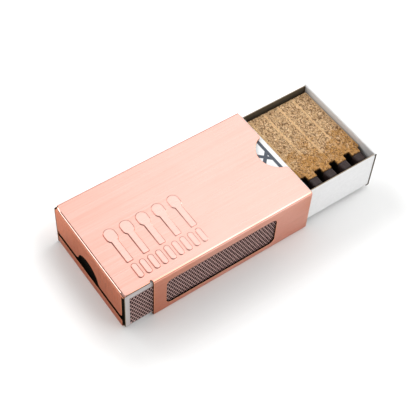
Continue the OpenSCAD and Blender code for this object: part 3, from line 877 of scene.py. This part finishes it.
class SleeveBlank:
    """The metal sleeve's flat blank and how it folds. u is the X of the plates and walls, and runs on
    down the flap and the lip. v is the distance round the sleeve from the open seam: along the bottom
    plate, up the front wall, over the top plate and down the back wall."""

    def __init__(self, s):
        self.s = s
        self.x_open, self.x_flap = SLEEVE_HIGH.x, SLEEVE_LOW.x
        self.y_front, self.y_back = SLEEVE_LOW.y, SLEEVE_HIGH.y
        self.top = SLEEVE_HIGH.z - s.emboss
        self.y_seam = self.y_back - s.sheet - s.seam
        self.x_walls = self.x_flap + s.bend
        self.x_front = self.x_flap + s.cutout
        self.x_slot = self.x_front - s.relief / 2
        self.quarter = s.bend * math.pi / 2
        corners = [
            (self.y_seam, 0), (self.y_front, 0), (self.y_front, self.top),
            (self.y_back, self.top), (self.y_back, 0),
        ]
        self.path = BentPath(corners, s.bend)
        self.bottom_end, self.wall_start, self.wall_end = self.path.stations[1:4]
        self.top_start, self.top_end, self.back_start, self.back_end = self.path.stations[4:8]
        self.wall_middle = (self.wall_start + self.wall_end) / 2
        self.tabs_end = (self.top_end + self.back_start) / 2

    def on_top(self, y):
        """The v of a Y on the top plate: its distance past the upper front bend."""
        return self.top_start + y - (self.y_front + self.s.bend)

    def on_bottom(self, y):
        """The v of a Y on the bottom plate: its distance from the seam."""
        return self.y_seam - y

    def on_wall(self, z):
        """The v of a Z on the front wall: its distance past the lower front bend."""
        return self.wall_start + z - self.s.bend

    def fold(self, flat, depth):
        """The girth's path gives Y and Z, and the outward direction in their plane. Next to the cut-out
        the plates stay flat. Past the walls' ends the plates turn a quarter circle into flap and lip, and
        only the back wall runs on."""
        u, v = flat.T
        place, heading = self.path.place(v)
        y, z = place.T
        upper = v > self.wall_middle
        loose = (u < self.x_slot) & (~upper | (v < self.top_end) | ((u < self.x_walls) & (v < self.tabs_end)))
        flat_y = np.where(upper, v - self.top_start + self.y_front + self.s.bend, self.y_seam - v)
        y = np.where(loose, flat_y, y)
        z = np.where(loose, np.where(upper, self.top, 0.0), z)
        heading = np.where(loose, np.where(upper, 0.0, math.pi), heading)
        past = np.where(v < self.tabs_end, self.x_walls - u, 0)
        turn = np.clip(past / self.s.bend, 0, math.pi / 2)
        drop = self.s.bend * (1 - np.cos(turn)) + np.maximum(past - self.quarter, 0)
        side = np.where(upper, 1.0, -1.0)
        x = np.where(past > 0, self.x_walls - self.s.bend * np.sin(turn), u)
        z = z - side * np.where(past > 0, drop, 0)
        normal = np.column_stack([np.zeros(len(u)), -np.sin(heading), np.cos(heading)])
        tab = np.column_stack([-np.sin(turn), np.zeros(len(u)), side * np.cos(turn)])
        normal = np.where((past > 0)[:, None], tab, normal)
        return np.column_stack([x, y, z]) - normal * np.asarray(depth)[:, None]

    def bent(self, flat):
        """1 for blank points in a bend and 0 for the others."""
        u, v = flat[:, 0], flat[:, 1]
        round_front = [(v > start) & (v < start + self.quarter) for start in (self.bottom_end, self.wall_end)]
        front = (u > self.x_slot) & (round_front[0] | round_front[1])
        back = (u > self.x_walls) & (v > self.top_end) & (v < self.top_end + self.quarter)
        root = (u < self.x_walls) & (u > self.x_walls - self.quarter) & (v < self.tabs_end)
        return (front | back | root).astype(float)

    def upright(self, flat):
        """1 for blank points in the walls, the flap and the lip, and 0 for those in the plates."""
        u, v = flat[:, 0], flat[:, 1]
        front = (v > self.bottom_end) & (v < self.top_start) & (u > self.x_slot)
        return (front | (v > self.back_start) | (u < self.x_walls - self.quarter / 2)).astype(float)

    def outline(self):
        """The blank's edge, anticlockwise from the seam at the open end."""
        s = self.s
        rim = self.on_top(self.y_front + s.inset)
        bend_u = self.x_walls - self.quarter
        flap_u = bend_u - (self.top - s.bend - s.lip - s.flap_gap)
        flap_v = [self.on_top(self.y_front + s.flap_front), self.on_top(self.y_back - s.sheet - s.flap_side)]
        lip_u = bend_u - (s.lip - s.bend)
        lip_v = [self.on_bottom(self.y_front + s.lip_front)]
        lip_v += [self.on_bottom(self.y_back - s.sheet - s.lip_side)]
        gap = s.corner_relief
        relief = s.relief / 2
        slot_v = rim + s.relief_depth - relief
        arch_v = sum(flap_v) / 2 + s.arch_shift
        items = [
            ((self.x_open, 0), s.corner),
            *recess(self.x_open, self.on_top(0), s.notch_r, s.notch_depth, s.notch_ease, 0),
            ((self.x_open, self.back_end), s.corner),
            ((self.x_flap, self.back_end), s.corner),
            ((self.x_flap, self.back_start + gap), s.corner),
            ((self.x_walls + gap, self.back_start + gap), gap),
            ((self.x_walls + gap, self.top_end - gap), gap),
            ((bend_u - gap, self.top_end - gap), gap),
            ((bend_u - gap, flap_v[1]), 0),
            ((flap_u, flap_v[1]), s.flap_r),
            *recess(flap_u, arch_v, s.arch_r, s.arch_depth, s.arch_ease, 180),
            ((flap_u, flap_v[0]), s.flap_r),
            ((bend_u, flap_v[0]), s.corner),
            ((bend_u, rim), s.corner),
            ((self.x_front - s.relief, rim), 0),
            arc((self.x_slot, slot_v), relief, 180, 0),
            ((self.x_front, lip_v[0]), s.corner / 2),
            ((lip_u, lip_v[0]), s.lip_r),
            ((lip_u, lip_v[1]), s.lip_r),
            ((self.x_walls, lip_v[1]), 0),
            ((self.x_walls, 0), 0),
        ]
        return rounded_loop(items)

    def window(self):
        """The striker window, clockwise."""
        s = self.s
        u = [self.x_front + s.window_start, self.x_open - s.window_end]
        v = [self.on_wall(s.window_under), self.on_wall(self.top - s.window_over)]
        return rectangle(v, u, s.window_r)[:, ::-1]

    def creases(self, outline):
        """The blank's fold lines, inside its outline: round the sleeve, and at the roots of the flap and
        the lip. Also gives the places of the lines that run round the sleeve."""
        loops = [inset(outline, CREASE_INSET * self.s.edge)]
        starts = (self.bottom_end, self.wall_end)
        front = np.concatenate([bend_steps(start, self.quarter) for start in starts])
        back = bend_steps(self.top_end, self.quarter)
        lines = crease_lines(front, 0, loops, (self.x_front, self.x_open))
        lines += crease_lines(back, 0, loops, (self.x_walls, self.x_open))
        roots = bend_steps(self.x_walls, -self.quarter)
        lines += crease_lines(roots, 1, loops, (self.wall_end, self.tabs_end))
        lines += crease_lines(roots, 1, loops, (0, self.bottom_end))
        return lines, np.concatenate([front, back])

    def embossed(self):
        """The embossed block: upright matches over a row of short round-ended bars. Each outline is two
        straight sides joined by arcs, anticlockwise."""
        s = self.s
        loops = []
        left = self.x_flap + s.emboss_x + s.match_head / 2
        low = self.on_top(self.y_front + s.emboss_y)
        half, head, r = s.match_stick / 2, s.match_head / 2, s.bar_width / 2
        base = low + s.bar_length + s.bar_gap
        neck = base + s.match_length - s.match_head_length + head
        crown = base + s.match_length - head
        drop = math.degrees(math.asin(math.sqrt(head**2 - half**2) / head))
        foot = 0.55 * MM
        for i in range(s.match_count):
            x = left + i * s.match_pitch
            loops.append(rounded_loop([
                ((x - half, base), foot), ((x + half, base), foot), arc((x, neck), head, -drop, 0),
                arc((x, crown), head, 0, 180), arc((x, neck), head, 180, 180 + drop),
            ]))
        for i in range(2 * s.match_count - 1):
            x = left + i * s.match_pitch / 2
            ends = [arc((x, low + r), r, -180, 0), arc((x, low + s.bar_length - r), r, 0, 180)]
            loops.append(rounded_loop(ends))
        return loops


def strip_fold(path, sign, axis):
    """The fold of a strip that lies along X and is bent in the YZ plane (axis 0), or lies along Y and is
    bent in the XZ plane (axis 1). sign is 1 if its outer face lies left of the path, and -1 if right."""

    def fold(flat, depth):
        place, heading = path.place(flat[:, 1])
        normal = sign * np.column_stack([-np.sin(heading), np.cos(heading)])
        bent = place - normal * np.asarray(depth)[:, None]
        along = flat[:, 0]
        columns = [along, bent[:, 0], bent[:, 1]] if axis == 0 else [bent[:, 0], along, bent[:, 1]]
        return np.column_stack(columns)

    return fold


def card_piece(name, path, sign, axis, outline, settings, materials, body, nodes=()):
    """A folded card strip: coated outside, bare board inside and on its cut edges."""
    creases = path.creases()
    lines = crease_lines(creases, 0, [inset(outline, CREASE_INSET * settings.edge)])
    outline = densified(outline, EDGE_STEP, creases)
    fold = strip_fold(path, sign, axis)
    co, faces, region, _ = folded_sheet(outline, [], lines, fold, settings.card, settings.edge, GRID)
    return make_piece(name, co, faces, materials, region, None, body, nodes)


class MATCHBOX_OT_metal_sleeve(bpy.types.Operator):
    """Cut, emboss and fold the brushed metal sleeve"""

    bl_idname = "matchbox.metal_sleeve"
    bl_label = "Metal sleeve"

    def execute(self, context):
        s = context.scene.matchbox_sleeve
        blank = SleeveBlank(s)
        outline = blank.outline()
        lines, stops = blank.creases(outline)
        outline = densified(outline, EDGE_STEP, stops)
        window = densified(blank.window(), EDGE_STEP)
        co, faces, _, attributes = folded_sheet(
            outline, [window], lines, blank.fold, s.sheet, s.edge, GRID,
            blank.embossed(), s.emboss, s.emboss_slope,
        )
        attributes["bend"] = blank.bent(attributes["blank"])
        attributes["upright"] = blank.upright(attributes["blank"])
        make_piece(
            "copper_sleeve", co, faces, [copper_material(s)], None, attributes,
            "sleeve", ["metal_sleeve"],
        )
        return {"FINISHED"}


class MATCHBOX_OT_card_sleeve(bpy.types.Operator):
    """Wrap the printed card sleeve round, with its glued overlap inside the back wall"""

    bl_idname = "matchbox.card_sleeve"
    bl_label = "Card sleeve"

    def execute(self, context):
        s = context.scene.matchbox_card
        low, high = CARD_LOW, CARD_HIGH
        lap = high.y - s.card
        corners = [
            (lap, low.z + s.fold + s.glue), (lap, low.z), (low.y, low.z),
            (low.y, high.z), (high.y, high.z), (high.y, low.z + s.card / 2),
        ]
        path = BentPath(corners, s.fold)
        outline = rectangle((low.x, high.x), (0, path.stations[-1]), 0.3 * MM)
        materials = [
            coated_card("printed_card", s.face, s, s.slate),
            # The card sleeve's inside is painted near black as shade.
            raw_card("inside_shade_board", s.hidden),
            raw_card("cut_board", s.cut),
        ]
        card_piece(
            "card_wrap", path, 1, 0, outline, s, materials, "card_box", ["card_sleeve"]
        )
        return {"FINISHED"}


class MATCHBOX_OT_strikers(bpy.types.Operator):
    """Lay the striker strips on the card sleeve's sides"""

    bl_idname = "matchbox.strikers"
    bl_label = "Striker strips"

    def execute(self, context):
        s = context.scene.matchbox_card
        material = striker_material(s)
        for side in ("front", "back"):
            low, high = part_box(f"striker_{side}")
            depth = high.y - low.y
            face = low.y if side == "front" else high.y
            path = BentPath([(face, low.z), (face, high.z)], 0)
            outline = densified(rectangle((low.x, high.x), (0, high.z - low.z), 0.2 * MM), 4 * MM)
            sign = 1 if side == "front" else -1
            fold = strip_fold(path, sign, 0)
            co, faces, _, _ = folded_sheet(outline, [], [], fold, depth, depth / 4, 5 * MM)
            name, nodes = f"striker_strip_{side}", [f"striker_{side}"]
            make_piece(name, co, faces, [material], None, None, "card_box", nodes)
        return {"FINISHED"}


class MATCHBOX_OT_tray(bpy.types.Operator):
    """Fold the tray: one wrap for floor and sides, and an end panel doubled over its own top fold"""

    bl_idname = "matchbox.tray"
    bl_label = "Tray"

    def execute(self, context):
        s = context.scene.matchbox_card
        low, high = TRAY_LOW, TRAY_HIGH
        side_y = high.y - s.end_proud
        side_z = high.z - s.end_over
        white = coated_card("tray_white", s.white, s)
        # The long walls' inside takes the darker board colour: painted shade.
        materials = [white, raw_card("tray_wall_shade", s.wall), raw_card("tray_cut", s.cut)]
        # The ends' cut edges take the near-black colour: painted shade.
        end_materials = [white, raw_card("tray_board", s.raw), raw_card("end_ply", s.ply)]
        path = BentPath([(side_y, side_z), (side_y, low.z), (-side_y, low.z), (-side_y, side_z)], s.tray_fold)
        shy = 0.05 * MM
        outer = [low.x + s.card + shy, high.x - s.card - shy]
        inner = [low.x + s.end_panel + 2 * shy, high.x - s.end_panel - 2 * shy]
        step = 0.9 * MM
        end = path.stations[-1]
        ease = 0.25 * MM
        outline = eased([
            (outer[0], step), (inner[0], step), (inner[0], 0), (inner[1], 0), (inner[1], step),
            (outer[1], step), (outer[1], end - step), (inner[1], end - step), (inner[1], end),
            (inner[0], end), (inner[0], end - step), (outer[0], end - step),
        ], ease)
        card_piece("tray_wrap", path, 1, 0, outline, s, materials, "tray", ["tray"])
        for name, face, inward in (("pulled_end", high.x, -1), ("hidden_end", low.x, 1)):
            back = face + inward * s.end_panel
            foot = face + inward * END_FOOT
            turn = s.end_panel / 2 - MM / 1000
            path = BentPath(
                [(foot, low.z), (face, low.z), (face, high.z), (back, high.z), (back, low.z + s.card)],
                [s.tray_fold, turn, turn],
            )
            over = path.stations[-2] + END_SHOULDER
            narrow = side_y - s.card - 3 * shy
            wide = high.y
            last = path.stations[-1]
            outline = eased([
                (-wide, 0), (wide, 0), (wide, over), (narrow, over),
                (narrow, last), (-narrow, last), (-narrow, over), (-wide, over),
            ], ease)
            card_piece(f"tray_{name}", path, inward, 1, outline, s, end_materials, "tray")
        return {"FINISHED"}


def rounded_section(width, height, radius, step):
    """Points anticlockwise round a rectangle with rounded corners, centred, at nearly even steps."""
    x, z = width / 2, height / 2
    return densified(rectangle((-x, x), (-z, z), radius, radius / 2), step)


def ring_places(x, y, z, middle):
    """Rings of points: each row of x and z, taken from the middle, at its own y."""
    return np.stack([x + middle.x, np.broadcast_to(y[:, None], x.shape), z + middle.z], axis=-1)


def end_points(low, high):
    """The middles of a box's front and back faces."""
    middle = (low + high) / 2
    return np.array([[middle.x, low.y, middle.z], [middle.x, high.y, middle.z]])


def tube_faces(rings, around):
    """Quads that join each ring of points to the next, and fans of triangles to the two end points,
    which follow the rings."""
    i = np.arange(around)
    j = np.roll(i, -1)
    base = (np.arange(rings - 1) * around)[:, None]
    quads = np.stack([base + around + i, base + around + j, base + j, base + i], axis=-1).reshape(-1, 4)
    last = (rings - 1) * around
    start = np.column_stack([np.full(around, rings * around), i, j])
    end = np.column_stack([np.full(around, rings * around + 1), last + j, last + i])
    return [quads, np.vstack([start, end])]


class MATCHBOX_OT_firelighters(bpy.types.Operator):
    """Press the firelighters: rough fibrous bars that narrow to a neck"""

    bl_idname = "matchbox.firelighters"
    bl_label = "Firelighters"

    def execute(self, context):
        s = context.scene.matchbox_fire
        material = fibre_material(s)
        for layer, row in itertools.product(LAYERS, ROWS):
            node = f"firelighter_{layer}_{row}"
            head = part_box(f"match_head_{layer}_{row}")
            self.make(s, f"stick_{layer}_{row}", node, *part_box(node), head, material, layer)
        return {"FINISHED"}

    def make(self, s, name, node, low, high, head, material, layer):
        """A rounded rectangle is carried along Y. At the front its sides step in to the neck's, over
        shoulders rounded by a quarter circle, and its ends close in a few steps. Noise moves the surface
        inward, but for smooth ridges along the long edges."""
        step = s.step if layer == "top" else 2 * s.step
        width, height = high.x - low.x, high.z - low.z
        middle = (low + high) / 2
        section = rounded_section(width, height, s.corner, step)
        y = low.y + (high.y - low.y) * np.linspace(0, 1, math.ceil((high.y - low.y) / step) + 1)
        neck_y = low.y + s.neck
        shoulder = neck_y + s.shoulder * np.array(SHOULDER_STEPS)
        y = np.sort(np.concatenate([y[np.abs(y[:, None] - shoulder).min(axis=1) > 0.2 * MM], shoulder]))
        close = np.concatenate([END_SHARES, np.ones(len(y)), END_SHARES[::-1]])
        y = np.concatenate([np.full(len(END_SHARES), low.y), y, np.full(len(END_SHARES), high.y)])
        neck = [(side - s.neck_step) / width * 2 for side in (middle.x - head[0].x, head[1].x - middle.x)]
        rounds = 1 - np.clip((y - neck_y) / s.shoulder, 0, 1)
        rounds = np.where(y < neck_y, 0, 1 - s.shoulder / width * 2 * (1 - np.sqrt(1 - rounds**2)))
        left, right = (np.maximum(side, rounds) for side in neck)
        wide = np.where(section[:, 0][None, :] < 0, left[:, None], right[:, None])
        x = section[:, 0][None, :] * wide * close[:, None]
        z = section[:, 1][None, :] * close[:, None]
        rings, around = x.shape
        co = ring_places(x, y, z, middle).reshape(-1, 3)
        plain_y = co[:, 1]
        side = np.array([width, height]) / 2 - np.abs(section)
        upright = side[:, 0] < side[:, 1]
        from_edge = np.broadcast_to(np.where(upright, side[:, 1], side[:, 0]), x.shape).ravel()
        wobble = lattice_noise(co, 2.5 * MM, SEEDS["ridge"]) * RIDGE_WANDER
        ridge = np.clip((s.ridge + wobble - from_edge) / RIDGE_WANDER + 0.5, 0, 1)
        face_normal = np.zeros((around, 3))
        face_normal[upright, 0] = np.sign(section[upright, 0])
        face_normal[~upright, 2] = np.sign(section[~upright, 1])
        face_normal = np.broadcast_to(face_normal[None], (rings, around, 3)).reshape(-1, 3)
        tufts = 0.6 * lattice_noise(co, s.fibre, SEEDS["tuft"])
        tufts = tufts + 0.4 * lattice_noise(co, s.fibre / 2, SEEDS["fine tuft"])
        inward = s.rough * ((0.35 + 0.5 * tufts.clip(-0.7, 1)) * (1 - ridge) + 0.1 * ridge * (1 + tufts))
        co = co - face_normal * np.abs(inward)[:, None]
        co[:, 2] -= SAG * (0.5 + 0.5 * lattice_noise(co * (0.1, 1, 0), 9 * MM, SEEDS["sag"]))
        outward = (plain_y > high.y - MM / 100).astype(int) - (plain_y < low.y + MM / 100)
        co[:, 1] -= outward * (0.5 + 0.5 * lattice_noise(co, s.fibre, SEEDS["end"])) * s.rough
        co = np.vstack([co, end_points(low, high)])
        ridge = np.concatenate([ridge, [0, 0]])
        ahead = 1 - np.clip((co[:, 1] - low.y) / (GOLDEN_REACH * (high.y - low.y)), 0, 1)
        # How deep in a notch a point lies: the share of painted shade there.
        in_notch = np.clip((neck_y + 1.5 * MM - co[:, 1]) / MM, 0, 1)
        deep = in_notch * np.clip((high.z - co[:, 2] - 0.5 * MM) / (1.5 * MM), 0, 1)
        attributes = {"ridge": ridge, "ahead": ahead, "deep": deep}
        faces = tube_faces(rings, around)
        make_piece(name, co, faces, [material], None, attributes, "tray", [node])


class MATCHBOX_OT_match_heads(bpy.types.Operator):
    """Dip the match heads: soft-edged dark blocks over the necks"""

    bl_idname = "matchbox.match_heads"
    bl_label = "Match heads"

    def execute(self, context):
        s = context.scene.matchbox_fire
        material = head_material(s)
        for layer, row in itertools.product(LAYERS, ROWS):
            node = f"match_head_{layer}_{row}"
            self.make(s, f"head_{layer}_{row}", node, *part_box(node), material)
        return {"FINISHED"}

    def make(self, s, name, node, low, high, material):
        """A rounded rectangle is carried along Y and shrinks by a quarter circle at its front end and by
        a small one where it meets the neck. Low noise makes the dipped surface uneven."""
        width, height = high.x - low.x, high.z - low.z
        middle = (low + high) / 2
        section = rounded_section(width, height, s.head_corner, 0.6 * MM)
        front = np.radians(np.linspace(0, 90, 7))
        nose = low.y + s.head_corner * (1 - np.cos(front))
        straight = np.linspace(nose[-1], high.y - 0.3 * MM, 6)[1:]
        y = np.concatenate([nose, straight, [high.y - 0.08 * MM, high.y]])
        pull = np.concatenate([s.head_corner * (1 - np.sin(front)), np.zeros(5), [0.1 * MM, 0.35 * MM]])
        x, z = (section[:, k] * (1 - pull / (size / 2))[:, None] for k, size in enumerate((width, height)))
        co = np.vstack([ring_places(x, y, z, middle).reshape(-1, 3), end_points(low, high)])
        away = co - np.array(middle)
        away /= np.linalg.norm(away, axis=1)[:, None]
        uneven = 0.5 + 0.5 * lattice_noise(co, 1.6 * MM, SEEDS["head"])
        co = co - away * (HEAD_UNEVEN * uneven)[:, None]
        faces = tube_faces(*x.shape)
        make_piece(name, co, faces, [material], None, None, "tray", [node])


class MATCHBOX_OT_stage(bpy.types.Operator):
    """Set the floor, the soft lights and the camera"""

    bl_idname = "matchbox.stage"
    bl_label = "Stage"

    def execute(self, context):
        s = context.scene.matchbox_stage
        self.make_floor(s)
        self.make_lights(context, s)
        self.make_camera(context, s)
        context.scene.view_settings.view_transform = "Standard"
        return {"FINISHED"}

    def make_floor(self, s):
        """A flat square at Z = 0."""
        half = s.floor_half
        mesh = bpy.data.meshes.new("floor")
        corners = [(-half, -half, 0), (half, -half, 0), (half, half, 0), (-half, half, 0)]
        mesh.from_pydata(corners, [], [(0, 1, 2, 3)])
        mesh.materials.append(floor_material(s))
        floor = bpy.data.objects.new("floor", mesh)
        bpy.context.scene.collection.objects.link(floor)

    def make_lights(self, context, s):
        """A neutral studio. Its world is dim, with a large soft light overhead and behind, one low in
        front, one high in front, a dark corner behind on the left and a narrow strip in it. Two lamps
        stand for windows."""
        world = bpy.data.worlds.new("studio")
        context.scene.world = world
        world.use_nodes = True
        tree = world.node_tree
        sky = wire(tree, "ShaderNodeTexCoord", None, "Generated")
        towards = tuple(Vector((0.42, 0.50, 0.76)).normalized())
        facing = wire(tree, "ShaderNodeVectorMath", {0: sky, 1: towards}, "Value", operation="DOT_PRODUCT")
        x, y, z = parts(sky)
        overhead = between(facing, 0.72, 0.95) * between(z, 0.3, 0.6)
        low = between(z, 0.2, 0.5, 1.0, 0.0) * between(y, -0.7, 0.1, 1.0, 0.0)
        high = zone(x, (0.15, 0.27), (0.47, 0.6)) * zone(y, (-0.75, -0.6), (0.05, 0.25))
        high = high * between(z, 0.5, 0.6)
        corner = between(x, -0.06, 0.06, 1.0, 0.0) * between(y, -0.1, 0.3)
        strip = zone(x, (-0.84, -0.79), (-0.5, -0.45)) * between(y, 0.15, 0.3) * between(z, 0.3, 0.4)
        light = (s.ambient,) * 3
        levels = (s.overhead, s.low_light, s.high_light, s.corner, s.strip)
        for share_of, level in zip((overhead, low, high, corner, strip), levels):
            light = mixed(share_of, light, (level,) * 3)
        feed(tree.nodes["Background"].inputs["Color"], light)
        for name, direction, size, power in (
            ("back_left", (-0.30, 0.85, 0.55), (0.5, 0.5), s.back_power),
            ("right", (0.95, 0.10, 0.45), (0.4, 0.6), s.right_power),
        ):
            data = bpy.data.lights.new(name, "AREA")
            data.shape = "RECTANGLE"
            data.size, data.size_y = size
            data.energy = power
            lamp = bpy.data.objects.new(name, data)
            context.scene.collection.objects.link(lamp)
            away = Vector(direction).normalized()
            lamp.location = away * s.lamp_distance
            lamp.rotation_euler = away.to_track_quat("Z", "Y").to_euler()

    def make_camera(self, context, s):
        """The camera looks from its place along its azimuth and elevation, and is then rolled about its
        own axis."""
        data = bpy.data.cameras.new("camera")
        camera = bpy.data.objects.new("camera", data)
        context.scene.collection.objects.link(camera)
        data.lens = s.focal
        data.sensor_width = s.sensor
        data.clip_start, data.clip_end = 10 * MM, 20000 * MM
        back = Vector((
            math.sin(s.azimuth) * math.cos(s.elevation),
            -math.cos(s.azimuth) * math.cos(s.elevation),
            math.sin(s.elevation),
        ))
        camera.location = s.place
        turn = (-back).to_track_quat("-Z", "Y").to_matrix() @ Euler((0, 0, s.roll)).to_matrix()
        camera.rotation_euler = turn.to_euler()
        context.scene.camera = camera


class MATCHBOX_PT_panel(bpy.types.Panel):
    """Sizes, colours and steps of the matchbox sleeve"""

    bl_idname = "MATCHBOX_PT_panel"
    bl_label = "Matchbox sleeve"
    bl_space_type = "VIEW_3D"
    bl_region_type = "UI"
    bl_category = "Matchbox"

    def draw(self, context):
        for step in STEPS:
            self.layout.operator(step.bl_idname)


SETTINGS = {
    "matchbox_sleeve": SleeveSettings,
    "matchbox_card": CardSettings,
    "matchbox_fire": FirelighterSettings,
    "matchbox_stage": StageSettings,
}
STEPS = (
    MATCHBOX_OT_metal_sleeve,
    MATCHBOX_OT_card_sleeve,
    MATCHBOX_OT_strikers,
    MATCHBOX_OT_tray,
    MATCHBOX_OT_firelighters,
    MATCHBOX_OT_match_heads,
    MATCHBOX_OT_stage,
)


def register():
    """Adds the settings, the steps and the panel."""
    for settings in SETTINGS.values():
        bpy.utils.register_class(settings)
    for name, settings in SETTINGS.items():
        setattr(bpy.types.Scene, name, PointerProperty(type=settings))
    for step in (*STEPS, MATCHBOX_PT_panel):
        bpy.utils.register_class(step)


def unregister():
    """Takes them away again in the opposite order."""
    for step in (MATCHBOX_PT_panel, *reversed(STEPS)):
        bpy.utils.unregister_class(step)
    for name, settings in SETTINGS.items():
        delattr(bpy.types.Scene, name)
        bpy.utils.unregister_class(settings)


def main():
    """Builds the object's looks piece by piece."""
    register()
    bpy.ops.matchbox.metal_sleeve()
    bpy.ops.matchbox.card_sleeve()
    bpy.ops.matchbox.strikers()
    bpy.ops.matchbox.tray()
    bpy.ops.matchbox.firelighters()
    bpy.ops.matchbox.match_heads()
    bpy.ops.matchbox.stage()


if __name__ == "__main__":
    main()
